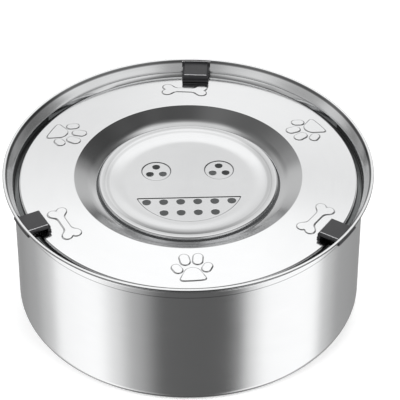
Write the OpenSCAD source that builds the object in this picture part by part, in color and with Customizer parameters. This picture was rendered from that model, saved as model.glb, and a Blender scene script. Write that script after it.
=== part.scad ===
// No-spill water bowl: a drawn steel bowl, a splash ring held by three sliding
// latches, and a buoyant drinking plate that rides in the well of the ring.
// Millimetres, +Z up. The origin is the centre of the face that the bowl stands on.

/* [Bowl] */
// Diameter over the rolled rim
rim_d = 260; // [236:1:290]
// Height from the floor to the top of the rolled rim
bowl_h = 110.4; // [95:0.1:140]
// Thickness of the rolled rim, top to bottom
bead_d = 2.0; // [1.8:0.1:2.4]
// Sheet thickness of the bowl
wall_t = 0.8; // [0.6:0.1:1]
// Width of the flare, from the collar's outside to the rim's outside
flare_w = 6.3; // [5.5:0.1:9]
// Step in from the collar to the wall, a ledge inside that carries the splash ring
collar_step = 1; // [0.8:0.1:1.2]
// Amount that the wall draws in from the ledge to the base, per side
wall_taper = 0.6; // [0:0.2:8]
// Outside radius of the base corner
corner_r = 8; // [5:0.5:20]
// Drop from the rim's centre to the foot of the flare
flare_h = 7; // [6:0.1:8]
// Drop from the rim's centre to the ledge, outside
ledge_drop = 12; // [12:0.1:16]
// Width of the flat band that the bowl stands on
foot_band_w = 16; // [8:1:40]
// Height that the middle of the base is pressed up by
base_lift = 1.2; // [0.6:0.1:3]

/* [Splash ring] */
// Width of the channel between the ring and the collar
ring_gap = 3.7; // [3.2:0.1:6]
// Width of the three tabs that rest on the ledge
tab_w = 14; // [8:0.5:16]
// Sheet thickness of the splash ring
ring_t = 0.6; // [0.4:0.1:0.8]
// Drop from the rim's centre to the deck at the ring's edge
deck_edge_drop = 7.8; // [7.6:0.1:8.4]
// Drop from the rim's centre to the deck's crest at the well
crest_drop = 4.9; // [4:0.1:6.5]
// Diameter of the opening at the bottom of the well
well_bottom_d = 128.6; // [122:0.2:148]
// Width of the well's slope, from the opening out to the crest
well_slope_w = 15.8; // [12:0.1:17]
// Depth of the well, from the crest to the foot of its slope
well_depth = 7.8; // [7:0.1:9]
// Width of the flatter foot of the slope
well_foot_w = 5.2; // [4:0.1:7]
// Rise of the flatter foot of the slope
well_foot_h = 1.9; // [1.4:0.1:2.2]
// Height of the straight lip under the well
lip_h = 1.5; // [1.2:0.1:3]
// Turn of the ring's pressed figures, seen from above
ring_turn = 4.2; // [-30:0.1:30]

/* [Raised figures] */
// Height that the figures are pressed up by
figure_rise = 0.35; // [0.2:0.05:0.4]
// Distance from the middle of the deck in to the middle of each bone
bone_inset = 0; // [-0.6:0.2:5]
// Length of a bone between the middles of its knobs
bone_l = 25.2; // [18:0.2:30]
// Slant of a bone, off square to the radius
bone_slant = -5.5; // [-8:0.5:8]
// Distance from the middle of the deck in to the middle of each paw
paw_inset = 0.6; // [-1:0.2:5]
// Slant of a paw, off the radius
paw_slant = 3; // [-10:0.5:10]

/* [Float] */
// Gap between the drinking plate and the ring's lip
plate_gap = 1.2; // [1:0.1:3]
// Sheet thickness of the drinking plate
plate_t = 0.5; // [0.4:0.1:0.6]
// Rise of the plate's rolled edge over the stop flange
plate_rise = 4.1; // [4:0.1:7]
// Width of the plate's rolled edge, from its outside to the dish
edge_w = 3.9; // [3:0.1:5]
// Width of the dish's sloping border, inside the rolled edge
border_w = 11.2; // [9:0.1:13]
// Depth of the dish below the plate's rolled edge
dish_depth = 1.6; // [1:0.1:1.8]
// Overlap of the float's stop flange under the ring's lip
stop_lap = 2.7; // [1.5:0.1:8]
// Thickness of the stop flange
stop_t = 1.6; // [1.4:0.1:2.4]
// Height of the air chamber's tub, below the stop flange's top
tub_h = 18.4; // [15:0.1:30]
// Plastic wall of the float
float_t = 1.4; // [1.2:0.1:1.6]
// Width of the air chamber, from the float's outside to its open middle
chamber_w = 20; // [12:0.5:21]
// Turn of the drinking plate, seen from above
face_turn = 4.5; // [-30:0.1:30]

/* [Drinking holes] */
// Hole diameter in the mouth
mouth_hole_d = 6; // [4:0.1:7]
// Distance between neighbouring holes in the mouth
hole_pitch = 11.9; // [9:0.1:12.5]
// Hole diameter in the eyes
eye_hole_d = 5.4; // [4:0.1:6]
// Distance from an eye's centre to its holes
eye_hole_r = 5.3; // [4.5:0.1:6]
// Diameter of an eye's recess
eye_d = 20.6; // [19:0.2:22]
// Distance between the centres of the eyes
eye_pitch = 44.4; // [40:0.2:48]
// Distance from the plate's axis to the line through the eyes
eye_y = 13.4; // [9:0.2:15]
// Radius of the mouth's lower edge
mouth_r = 38.4; // [37.8:0.2:39]
// Distance from the plate's axis down to the middle of that arc
mouth_arc_y = 4.3; // [3:0.1:6]
// Distance from the plate's axis down to the mouth's straight edge
mouth_top_y = 16.6; // [14:0.2:18]
// Depth of the pressed recesses
recess_depth = 0.4; // [0.3:0.1:0.8]

/* [Latches] */
// Width of a latch
latch_w = 19.2; // [15:0.2:19.4]
// Width of a latch's slot through the flare
slot_w = 20.6; // [20.4:0.1:22]
// Thickness of the latch's sliding plate
latch_t = 2.7; // [2.2:0.1:3]
// Width of the slant along the latch's upper edges
latch_chamfer = 1.3; // [0.6:0.1:1.5]
// Travel of a latch from closed to open
latch_travel = 9.5; // [8:0.1:9.8]
// Room between an open latch and the ring's edge
release_gap = 0.5; // [0.3:0.1:0.8]
// Length of the outside grip, across the slide
grip_w = 23; // [18:0.5:30]
// Height of the outside grip
grip_h = 4.8; // [4.4:0.1:5.4]
// Sliding clearance of a latch in its slot
slide_gap = 0.3; // [0.2:0.05:0.4]

/* [Hidden] */
$fn = 96;

STEEL = [0.80, 0.81, 0.82];
BLACK = [0.07, 0.07, 0.075];
DARK_GREY = [0.16, 0.16, 0.17];

// The latches stand a third of a turn apart, the first one at the back
BACK_ANGLE = 90;
LEFT_ANGLE = 210;
RIGHT_ANGLE = 330;

// Heights above the floor
bead_r = bead_d / 2;
rim_z = bowl_h - bead_r;
flare_z = rim_z - flare_h;
ledge_z = rim_z - ledge_drop;
crest_z = rim_z - crest_drop;
well_foot_z = crest_z - well_depth;
lip_z = well_foot_z - lip_h;
deck_edge_z = rim_z - deck_edge_drop;

// Radii from the bowl's axis
rim_r = rim_d / 2;
bead_mid_r = rim_r - bead_r;
collar_r = rim_r - flare_w;
collar_in_r = collar_r - wall_t;
wall_r = collar_r - collar_step;
base_r = wall_r - wall_taper;
ring_r = collar_in_r - ring_gap;
well_bottom_r = well_bottom_d / 2;
well_top_r = well_bottom_r + well_slope_w;
deck_mid_r = (well_top_r + ring_r) / 2;
plate_r = well_bottom_r - plate_gap;
dish_r = plate_r - edge_w;
dish_flat_r = dish_r - border_w;
well_knee_r = well_bottom_r + well_foot_w;
well_knee_z = well_foot_z + well_foot_h;

// The float's flange stops this far under the ring's lip
stop_gap = 0.3;
// Gap between pieces that are pressed or welded together
fit_gap = 0.05;
// Metal left whole under the rolled rim at a latch slot
bead_web = 0.05;
// Height of the step from the wall out to the collar, which makes the ledge
step_h = 0.4;
// Gap between the edge of a tab and the collar
tab_gap = 0.3;
// Inset of a grip's face from the rim's outside
grip_inset = 0.2;
// Wall between the ridge on a grip's face and the socket for the latch's tenon
socket_wall = 1.3;
// How far up a grip's face its ridge runs
ridge_level = 0.56;
// Set-back of a grip's lower and upper edges behind the ridge on its face
ridge_low = 1.4;
ridge_top = 0.6;
// Inset of the figures' skin from the deck's inner and outer edges
skin_in = 1;
skin_out = 2;
// Bend radii of the sheet
base_bend_r = 1.5;
flare_bend_r = 3;
lip_bend_r = 1.2;
well_knee_bend_r = 30;
crest_bend_r = 1.2;
ring_edge_bend_r = 1.8;
dish_bend_r = 40;
plate_top_bend_r = 0.8;
plate_edge_bend_r = 1.3;
// How far along its width, and how far up, the dish's border gets steeper
border_knee = 0.58;
border_knee_rise = 0.28;

// Steps of a fillet
FILLET_STEPS = 6;
// Overlap of cutters past the faces that they cut
CUT = 1;

// Outlines of sheet parts: a path of corners, each rounded by its own radius
function unit(v) = v / norm(v);
function left_of(v) = [-v[1], v[0]];
function run(p, i) = unit(p[i + 1] - p[i]);
function wrap(a) = a > 180 ? a - 360 : (a < -180 ? a + 360 : a);

function corner_arc(a, b, c, r) =
    let (
        u = unit(a - b),
        v = unit(c - b),
        half = acos(u * v) / 2,
        mid = b + unit(u + v) * r / sin(half),
        from = b + u * r / tan(half) - mid,
        to = b + v * r / tan(half) - mid,
        start = atan2(from[1], from[0]),
        sweep = wrap(atan2(to[1], to[0]) - start)
    )
    [for (k = [0:FILLET_STEPS])
        mid + r * [cos(start + sweep * k / FILLET_STEPS), sin(start + sweep * k / FILLET_STEPS)]];

// Each row of path is [x, y, radius of the corner]
function rounded(path) =
    let (last = len(path) - 1)
    [for (i = [0:last])
        let (p = [path[i][0], path[i][1]])
        each (i == 0 || i == last || path[i][2] == 0)
            ? [p]
            : corner_arc([path[i - 1][0], path[i - 1][1]], p,
                [path[i + 1][0], path[i + 1][1]], path[i][2])];

function side_step(p, i, d) =
    let (
        last = len(p) - 1,
        a = left_of(run(p, max(i - 1, 0))),
        b = left_of(run(p, min(i, last - 1))),
        m = unit(a + b)
    )
    m * d / (m * a);

// A closed outline: the path, and the path moved to its left by t, run back
function sheet(p, t) =
    concat(p, [for (i = [len(p) - 1:-1:0]) p[i] + side_step(p, i, t)]);

// Height of the deck's top at a distance r from the axis
function deck_z(r) =
    crest_z - (r - well_top_r) * (crest_z - deck_edge_z) / (ring_r - well_top_r);

// Radius of the flare's outside at a height z
function flare_r(z) =
    collar_r + (bead_mid_r - collar_r) * max(z - flare_z, 0) / (rim_z - flare_z);

// The ring's tabs end short of the collar and rest on the ledge
ledge_in_r = wall_r - wall_t;
tab_r = collar_in_r - tab_gap;
ledge_slope = step_h / collar_step;
ledge_rise = wall_t * (sqrt(1 + ledge_slope * ledge_slope) - ledge_slope);
tab_z = ledge_z - step_h + ledge_rise + (tab_r - ledge_in_r) * ledge_slope + fit_gap;

// The float: stop flange, plate, tub and lid
stop_z = lip_z - stop_gap;
plate_z = stop_z + plate_rise;
dish_z = plate_z - dish_depth;
stop_r = well_bottom_r + stop_lap;
tub_r = plate_r - plate_t - fit_gap;
tub_floor_z = stop_z - tub_h;
bore_r = tub_r - chamber_w;
lid_z = dish_z - recess_depth - 2 * plate_t - fit_gap;

// A latch slides under the rim. Closed, its tip laps the ring. Open, the tip is
// clear of the ring's edge and the heel is short of the collar.
latch_top_z = rim_z - bead_r - bead_web - slide_gap;
latch_under_z = latch_top_z - latch_t;
latch_tip_r = ring_r + release_gap - latch_travel;
heel_r = sqrt(collar_in_r * collar_in_r - latch_w * latch_w / 4) - slide_gap - latch_travel;
grip_r = rim_r - grip_inset;
// The latch's outer end steps down to a tenon that the grip is pressed on
tenon_r = flare_r(latch_under_z) + slide_gap + grip_inset;
socket_r = grip_r - socket_wall;
tenon_w = 0.75 * latch_w;
tenon_h = latch_t / 2;
tenon_z = latch_under_z + tenon_h / 4;

module bowl_section() {
    foot_in = base_r - corner_r - foot_band_w;
    outside = rounded([
        [0, base_lift, 0],
        [foot_in - base_lift, base_lift, base_bend_r],
        [foot_in, 0, base_bend_r],
        [base_r, 0, corner_r],
        [wall_r, ledge_z - step_h, 0],
        [collar_r, ledge_z, 0],
        [collar_r, flare_z, flare_bend_r],
        [bead_mid_r, rim_z, 0]
    ]);
    polygon(sheet(outside, wall_t));
    translate([bead_mid_r, rim_z]) circle(r = bead_r);
}

module at_angle(angle) {
    rotate([0, 0, angle]) children();
}

module latch_slot() {
    translate([ring_r, -slot_w / 2, latch_under_z - slide_gap])
        cube([rim_r + CUT - ring_r, slot_w, latch_t + 2 * slide_gap]);
}

module bowl_shell() {
    color(STEEL)
    difference() {
        rotate_extrude() bowl_section();
        for (angle = [BACK_ANGLE, LEFT_ANGLE, RIGHT_ANGLE]) at_angle(angle) latch_slot();
    }
}

module ring_section() {
    top = rounded([
        [well_bottom_r, lip_z, 0],
        [well_bottom_r, well_foot_z, lip_bend_r],
        [well_knee_r, well_knee_z, well_knee_bend_r],
        [well_top_r, crest_z, crest_bend_r],
        [ring_r, deck_edge_z, ring_edge_bend_r],
        [ring_r, tab_z, 0]
    ]);
    polygon(sheet(top, -ring_t));
}

// Outlines of the figures raised on the deck
module bone_shape() {
    knob_r = 3.6;
    knob_y = 3.3;
    neck_h = 2.6;
    neck_l = 10;
    knob_x = bone_l / 2;
    flare_x = knob_x - 2;
    flare_y = knob_y + 2.4;
    for (x = [-1, 1], y = [-1, 1])
        translate([x * knob_x, y * knob_y]) circle(r = knob_r);
    for (x = [-1, 1])
        polygon([
            [0, -neck_h],
            [x * neck_l / 2, -neck_h],
            [x * flare_x, -flare_y],
            [x * knob_x, 0],
            [x * flare_x, flare_y],
            [x * neck_l / 2, neck_h],
            [0, neck_h]
        ]);
}

module toe_shape(toe_r, toe_half) {
    square([2 * toe_r, 2 * toe_half], center = true);
    for (y = [-1, 1]) translate([0, y * toe_half]) circle(r = toe_r);
}

// A pad about the middle of its round end: the round end, and two corners below it
module pad_shape() {
    dome_r = 6.3;
    corner_pad_r = 1.8;
    corner = [7, -4.2];
    reach = norm(corner);
    lean = atan2(corner[1], corner[0]) + acos((dome_r - corner_pad_r) / reach);
    side = [cos(lean), sin(lean)];
    // The straight sides start this far inside the round ends
    tuck = 0.15;
    from = (dome_r - tuck) * side;
    to = corner + (corner_pad_r - tuck) * side;
    foot_y = corner[1] - corner_pad_r + tuck;
    circle(r = dome_r);
    for (x = [-1, 1]) {
        translate([x * corner[0], corner[1]]) circle(r = corner_pad_r);
        polygon([
            [0, 0],
            [x * from[0], from[1]],
            [x * to[0], to[1]],
            [x * corner[0], foot_y],
            [0, foot_y]
        ]);
    }
}

// A paw about its middle: the pad, two toes before it and one at each side
module paw_shape() {
    pad_y = -6;
    front_toe = [4.5, 8];
    front_lean = -8;
    front_toe_r = 3.45;
    front_toe_half = 1.9;
    side_toe = [10.2, -0.2];
    side_lean = -28;
    side_toe_r = 3.2;
    side_toe_half = 1.4;
    translate([0, pad_y]) pad_shape();
    for (x = [-1, 1]) {
        translate([x * front_toe[0], front_toe[1]])
            rotate(x * front_lean) toe_shape(front_toe_r, front_toe_half);
        translate([x * side_toe[0], side_toe[1]])
            rotate(x * side_lean) toe_shape(side_toe_r, side_toe_half);
    }
}

// Bones and paws by turns round the deck. The toes point to the well.
module ring_figures() {
    for (k = [0:2]) {
        at_angle(BACK_ANGLE + ring_turn + 120 * k)
            translate([deck_mid_r - bone_inset, 0]) rotate(90 + bone_slant) bone_shape();
        at_angle(BACK_ANGLE + ring_turn + 60 + 120 * k)
            translate([deck_mid_r - paw_inset, 0]) rotate(90 + paw_slant) paw_shape();
    }
}

// A skin on the deck, sunk halfway into the sheet, that the figures are cut from
module deck_skin() {
    in_r = well_top_r + skin_in;
    out_r = ring_r - skin_out;
    root = ring_t / 2;
    rotate_extrude()
        polygon([
            [in_r, deck_z(in_r) - root],
            [out_r, deck_z(out_r) - root],
            [out_r, deck_z(out_r) + figure_rise],
            [in_r, deck_z(in_r) + figure_rise]
        ]);
}

// Three tabs on the ring's edge, under the latches, rest on the bowl's ledge
module ring_tabs() {
    for (angle = [BACK_ANGLE, LEFT_ANGLE, RIGHT_ANGLE])
        at_angle(angle)
        intersection() {
            rotate_extrude()
                translate([ring_r - ring_t / 2, tab_z])
                square([tab_r - ring_r + ring_t / 2, ring_t]);
            translate([0, -tab_w / 2, tab_z - CUT])
                cube([rim_r, tab_w, ring_t + 2 * CUT]);
        }
}

module splash_ring() {
    color(STEEL)
    union() {
        rotate_extrude() ring_section();
        ring_tabs();
        intersection() {
            deck_skin();
            translate([0, 0, lip_z]) linear_extrude(rim_z - lip_z) ring_figures();
        }
    }
}

module plate_section() {
    skirt_z = stop_z + fit_gap;
    knee_r = dish_flat_r + border_w * border_knee;
    knee_z = dish_z + dish_depth * border_knee_rise;
    top = rounded([
        [0, dish_z, 0],
        [dish_flat_r, dish_z, dish_bend_r],
        [knee_r, knee_z, dish_bend_r],
        [dish_r, plate_z, plate_top_bend_r],
        [plate_r, plate_z, plate_edge_bend_r],
        [plate_r, skirt_z, 0]
    ]);
    polygon(sheet(top, -plate_t));
}

// Outline of the mouth: what a straight edge leaves of a disc
module mouth_shape(grow) {
    intersection() {
        translate([0, -mouth_arc_y]) circle(r = mouth_r + grow);
        translate([-plate_r, -2 * plate_r - mouth_top_y + grow]) square(2 * plate_r);
    }
}

module face_shape(grow) {
    for (x = [-1, 1]) translate([x * eye_pitch / 2, eye_y]) circle(d = eye_d + 2 * grow);
    mouth_shape(grow);
}

module face_holes() {
    for (x = [-1, 1], k = [0:2])
        translate([x * eye_pitch / 2, eye_y])
            rotate(90 + 120 * k) translate([eye_hole_r, 0]) circle(d = eye_hole_d);
    upper_y = -mouth_top_y - hole_pitch / 3;
    for (k = [-2.5:1:2.5]) translate([k * hole_pitch, upper_y]) circle(d = mouth_hole_d);
    for (k = [-1.5:1:1.5])
        translate([k * hole_pitch, upper_y - hole_pitch]) circle(d = mouth_hole_d);
}

module float_plate() {
    floor_z = dish_z - recess_depth - plate_t;
    color(STEEL)
    at_angle(face_turn)
    difference() {
        union() {
            rotate_extrude() plate_section();
            translate([0, 0, floor_z]) linear_extrude(recess_depth + plate_t) face_shape(plate_t);
        }
        translate([0, 0, dish_z - recess_depth]) linear_extrude(recess_depth + CUT) face_shape(0);
        translate([0, 0, floor_z - CUT]) linear_extrude(recess_depth + plate_t + 2 * CUT) face_holes();
    }
}

// The air chamber: an annular tub with a stop flange, closed by a welded lid
module tub_section() {
    difference() {
        translate([bore_r, tub_floor_z]) square([tub_r - bore_r, lid_z - float_t - tub_floor_z]);
        translate([bore_r + float_t, tub_floor_z + float_t])
            square([tub_r - bore_r - 2 * float_t, lid_z - tub_floor_z]);
    }
    translate([tub_r, stop_z - stop_t]) square([stop_r - tub_r, stop_t]);
}

module float_tub() {
    color(DARK_GREY) rotate_extrude() tub_section();
}

module float_lid() {
    color(DARK_GREY)
    translate([0, 0, lid_z - float_t])
        difference() {
            cylinder(r = tub_r, h = float_t);
            translate([0, 0, -CUT]) cylinder(r = bore_r, h = float_t + 2 * CUT);
        }
}

// Section of a latch along its slide: x runs out from the bowl's axis
module latch_section() {
    nose_r = latch_tip_r + 0.5;
    waist_r = nose_r + 0.7;
    nose_drop = 0.3;
    waist_drop = 1.2;
    lip_t = 1.1;
    lip_shelf = 0.2;
    tip_z = deck_z(latch_tip_r) + slide_gap;
    heel_z = deck_z(heel_r) + slide_gap;
    waist_z = max(latch_under_z - waist_drop, tip_z + lip_t + lip_shelf);
    polygon([
        [nose_r + latch_chamfer, latch_top_z],
        [nose_r, latch_top_z - latch_chamfer],
        [nose_r, latch_under_z - nose_drop],
        [waist_r, waist_z],
        [latch_tip_r, tip_z + lip_t],
        [latch_tip_r, tip_z],
        [heel_r, heel_z],
        [heel_r, latch_under_z],
        [tenon_r, latch_under_z],
        [tenon_r, latch_top_z]
    ]);
}

// Section of a latch across its slide: x runs along its width
module latch_cross_section() {
    half = latch_w / 2;
    low_z = lip_z;
    polygon([
        [-half, low_z],
        [half, low_z],
        [half, latch_top_z - latch_chamfer],
        [half - latch_chamfer, latch_top_z],
        [latch_chamfer - half, latch_top_z],
        [-half, latch_top_z - latch_chamfer]
    ]);
}

module latch_slide(angle) {
    color(BLACK)
    at_angle(angle) {
        intersection() {
            translate([0, latch_w / 2, 0]) rotate([90, 0, 0]) linear_extrude(latch_w) latch_section();
            rotate([90, 0, 90]) linear_extrude(rim_r) latch_cross_section();
        }
        translate([tenon_r - CUT, -tenon_w / 2, tenon_z])
            cube([socket_r - tenon_r + CUT, tenon_w, tenon_h]);
    }
}

// The grip: a bar that follows the rim, tucked under the bead against the flare.
// A ridge runs along its face.
module grip_section() {
    low_z = latch_top_z - grip_h;
    ridge_z = low_z + ridge_level * grip_h;
    polygon([
        [flare_r(low_z) + slide_gap, low_z],
        [grip_r - ridge_low, low_z],
        [grip_r, ridge_z],
        [grip_r - ridge_top, latch_top_z],
        [flare_r(latch_top_z) + slide_gap, latch_top_z]
    ]);
}

module latch_grip(angle) {
    color(BLACK)
    at_angle(angle)
    difference() {
        intersection() {
            rotate_extrude() grip_section();
            translate([ring_r, -grip_w / 2, ledge_z]) cube([rim_r, grip_w, rim_z - ledge_z]);
        }
        translate([ring_r, -latch_w / 2 - fit_gap, latch_under_z - fit_gap])
            cube([tenon_r + fit_gap - ring_r, latch_w + 2 * fit_gap, latch_t + CUT]);
        translate([ring_r, -tenon_w / 2 - fit_gap, tenon_z - fit_gap])
            cube([socket_r + fit_gap - ring_r, tenon_w + 2 * fit_gap, tenon_h + 2 * fit_gap]);
    }
}

bowl_shell();
splash_ring();
float_plate();
float_tub();
float_lid();
latch_slide(BACK_ANGLE);  // latch_slide_back
latch_slide(LEFT_ANGLE);  // latch_slide_left
latch_slide(RIGHT_ANGLE);  // latch_slide_right
latch_grip(BACK_ANGLE);  // latch_grip_back
latch_grip(LEFT_ANGLE);  // latch_grip_left
latch_grip(RIGHT_ANGLE);  // latch_grip_right
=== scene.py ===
"""The no-spill water bowl, dressed for a studio picture.

Sizes are in millimetres until a mesh is made, and MM turns them into metres.
"""

import math

import bmesh
import bpy
import numpy as np
from mathutils import Matrix, Vector
from mathutils.geometry import delaunay_2d_cdt


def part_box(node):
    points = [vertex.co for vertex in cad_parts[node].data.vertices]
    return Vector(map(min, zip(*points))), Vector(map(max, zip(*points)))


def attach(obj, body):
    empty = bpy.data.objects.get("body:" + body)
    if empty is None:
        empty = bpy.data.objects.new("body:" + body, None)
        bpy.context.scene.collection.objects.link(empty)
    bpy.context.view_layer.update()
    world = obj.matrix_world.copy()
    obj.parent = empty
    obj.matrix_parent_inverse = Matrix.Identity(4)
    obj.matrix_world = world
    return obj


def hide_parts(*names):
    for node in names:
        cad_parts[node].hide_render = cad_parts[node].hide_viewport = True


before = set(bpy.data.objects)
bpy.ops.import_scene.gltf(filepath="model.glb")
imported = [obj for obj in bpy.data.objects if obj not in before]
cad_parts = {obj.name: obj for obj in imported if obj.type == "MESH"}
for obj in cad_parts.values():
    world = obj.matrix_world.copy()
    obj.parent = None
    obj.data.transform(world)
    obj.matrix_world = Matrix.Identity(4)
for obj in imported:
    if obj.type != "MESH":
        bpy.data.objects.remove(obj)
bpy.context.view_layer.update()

MM = 0.001
# Columns of faces round the axis
COLUMNS = 360


def node_box(node):
    """Lowest and highest corner of a node of the frame, in millimetres."""
    low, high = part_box(node)
    return [c / MM for c in low], [c / MM for c in high]


bowl_low, bowl_high = node_box("bowl_shell")
ring_low = node_box("splash_ring")[0]
plate_low, plate_high = node_box("float_plate")
slide_low, slide_high = node_box("latch_slide_back")
grip_low, grip_high = node_box("latch_grip_back")

# Bowl. Bends are the radii of its folds.
BEAD_R = 1.0
RIM_R = (bowl_high[0] - bowl_low[0]) / 2
RIM_Z = bowl_high[2] - BEAD_R
WALL_T = 0.8
BEAD_MID_R = RIM_R - BEAD_R
COLLAR_R = RIM_R - 6.3
COLLAR_IN_R = COLLAR_R - WALL_T
WALL_R = COLLAR_R - 1.0
BASE_R = WALL_R - 0.6
CORNER_R = 8.0
FLARE_Z = RIM_Z - 7.0
LEDGE_Z = RIM_Z - 12.0
STEP_H = 0.4
FLARE_BEND = 3.0
STEP_BEND = 0.25
FOOT_BEND = 1.5
FOOT_BAND_W = 16.0
BASE_LIFT = 1.2

# Splash ring
RING_R = COLLAR_IN_R - 3.6
RING_T = 0.6
CREST_Z = RIM_Z - 4.9
DECK_EDGE_Z = RIM_Z - 7.8
LIP_Z = ring_low[2]
WELL_BOTTOM_R = 64.3
WELL_TOP_R = WELL_BOTTOM_R + 15.8
WELL_KNEE_R = WELL_BOTTOM_R + 5.2
WELL_FOOT_Z = CREST_Z - 7.8
WELL_KNEE_Z = WELL_FOOT_Z + 1.9
KNEE_BEND = 30.0
CREST_BEND = 1.2
EDGE_BEND = 1.8
DECK_MID_R = (WELL_TOP_R + RING_R) / 2
TAB_R = COLLAR_IN_R - 0.3
TAB_Z = LEDGE_Z + 0.47
TAB_W = 14.0
RING_TURN = 4.2

# Drinking plate
PLATE_R = (plate_high[0] - plate_low[0]) / 2
PLATE_T = 0.5
PLATE_Z = plate_high[2]
DISH_Z = PLATE_Z - 2.0
DISH_R = PLATE_R - 3.9
DISH_FLAT_R = DISH_R - 15.2
PLATE_BEND = 1.3
SKIRT_Z = LIP_Z - 0.25
FACE_TURN = 4.5

# Latches
LATCH_W = slide_high[0] - slide_low[0]
LATCH_TOP_Z = slide_high[2]
LATCH_T = 2.7
LATCH_UNDER_Z = LATCH_TOP_Z - LATCH_T
LATCH_SLANT = 1.3
LATCH_BEVEL = 0.2
HIGHLIGHT_BEVEL = 0.28
SLOT_W = LATCH_W + 1.4
SLOT_PLAY = 0.4
GRIP_W = grip_high[0] - grip_low[0]
GRIP_R = grip_high[1]
GRIP_LOW_Z = grip_low[2]
BACK = 90.0
LATCHES = {"back": BACK, "left": BACK + 120.0, "right": BACK + 240.0}


# Outlines in the plane of a section, and what turns them into surfaces

def unit(v):
    return v / np.linalg.norm(v)


def left_of(v):
    return np.array([-v[1], v[0]])


def bend(before, corner, after, radius, steps):
    """Points and left normals round a corner that has a bend radius."""
    u = unit(before - corner)
    v = unit(after - corner)
    half = math.acos(float(np.clip(u @ v, -1, 1))) / 2
    middle = corner + unit(u + v) * radius / math.sin(half)
    start = corner + u * radius / math.tan(half) - middle
    stop = corner + v * radius / math.tan(half) - middle
    first = math.atan2(start[1], start[0])
    sweep = math.atan2(stop[1], stop[0]) - first
    sweep = (sweep + math.pi) % (2 * math.pi) - math.pi
    side = -1 if sweep > 0 else 1
    rows = []
    for k in range(steps + 1):
        angle = first + sweep * k / steps
        out = np.array([math.cos(angle), math.sin(angle)])
        rows.append((middle + radius * out, side * out))
    return rows


def section(path, steps=8):
    """Rows of (place, left normal) along a path of [r, z, bend radius] corners."""
    corners = [np.array(p[:2], float) for p in path]
    rows = [(corners[0], left_of(unit(corners[1] - corners[0])))]
    for i in range(1, len(path) - 1):
        rows += bend(corners[i - 1], corners[i], corners[i + 1], path[i][2], steps)
    rows.append((corners[-1], left_of(unit(corners[-1] - corners[-2]))))
    return rows


def flipped(rows):
    """The same rows with their normals on the other side."""
    return [(p, -n) for p, n in rows]


def steps_between(start, stop, count):
    return [start + (stop - start) * k / count for k in range(count + 1)]


class Skin:
    """Points with their normals, and the faces between them, in millimetres."""

    def __init__(self):
        self.points = []
        self.normals = []
        self.faces = []
        self.known = {}

    def point(self, place, normal):
        key = tuple(round(c * 1e4) for c in place)
        if key not in self.known:
            self.known[key] = len(self.points)
            self.points.append(tuple(place))
            self.normals.append(tuple(normal))
        return self.known[key]

    def face(self, corners):
        kept = [c for i, c in enumerate(corners) if c != corners[i - 1]]
        if len(kept) > 2:
            self.faces.append(kept)

    def revolve(self, rows, angles, leave_out=None):
        """Turns rows round the axis. leave_out(row, column) says which faces stay open."""
        grid = []
        for (r, z), (nr, nz) in rows:
            ring = []
            for a in angles:
                c, s = math.cos(a), math.sin(a)
                ring.append(self.point((r * c, r * s, z), (nr * c, nr * s, nz)))
            grid.append(ring)
        for i in range(len(rows) - 1):
            first = [grid[i][0], grid[i][1], grid[i + 1][1], grid[i + 1][0]]
            turn = 1 if self.faces_out(first) else -1
            for j in range(len(angles) - 1):
                if leave_out and leave_out(i, j):
                    continue
                a, b = grid[i][j], grid[i][j + 1]
                c, d = grid[i + 1][j + 1], grid[i + 1][j]
                self.face([a, b, c, d][::turn])

    def faces_out(self, corners):
        """Whether four corners run so that their face looks along its normals."""
        p = [np.array(self.points[c]) for c in corners]
        across = np.cross(p[2] - p[0], p[3] - p[1])
        return across @ sum(np.array(self.normals[c]) for c in corners) > 0

    def facing(self, corners):
        """Adds a face of four corners, turned so that it looks along its normals."""
        self.face(corners if self.faces_out(corners) else corners[::-1])


def circle_angles(count, extra=()):
    """Angles all the way round, with the extra ones set in."""
    even = [2 * math.pi * k / count for k in range(count + 1)]
    near = math.pi / count * 0.5
    kept = [a for a in even if all(abs(a - e) > near for e in extra) or a in (even[0], even[-1])]
    return sorted(kept + list(extra))


def thickened(skin, thickness):
    """Closes an open skin into a sheet: its under side and the rims between them."""
    points = np.array(skin.points)
    normals = np.array(skin.normals)
    normals /= np.linalg.norm(normals, axis=1)[:, None]
    count = len(points)
    under = points - normals * thickness
    faces = [list(f) for f in skin.faces]
    faces += [[c + count for c in reversed(f)] for f in skin.faces]
    sides = {}
    for f in skin.faces:
        for i, b in enumerate(f):
            sides[(f[i - 1], b)] = True
    rims = [(a, b) for a, b in sides if (b, a) not in sides]
    smooth = len(faces)
    faces += [[b, a, a + count, b + count] for a, b in rims]
    return np.vstack([points, under]), np.vstack([normals, -normals]), faces, smooth


def as_solid(skin):
    """A skin that is closed already, in the form that thickened() gives."""
    points = np.array(skin.points)
    normals = np.array(skin.normals)
    return points, normals, [list(f) for f in skin.faces], len(skin.faces)


def joined(*solids):
    points, normals, smooth_faces, flat_faces = [], [], [], []
    base = 0
    for p, n, faces, smooth in solids:
        points.append(p)
        normals.append(n)
        smooth_faces += [[c + base for c in f] for f in faces[:smooth]]
        flat_faces += [[c + base for c in f] for f in faces[smooth:]]
        base += len(p)
    return np.vstack(points), np.vstack(normals), smooth_faces + flat_faces, len(smooth_faces)


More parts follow.
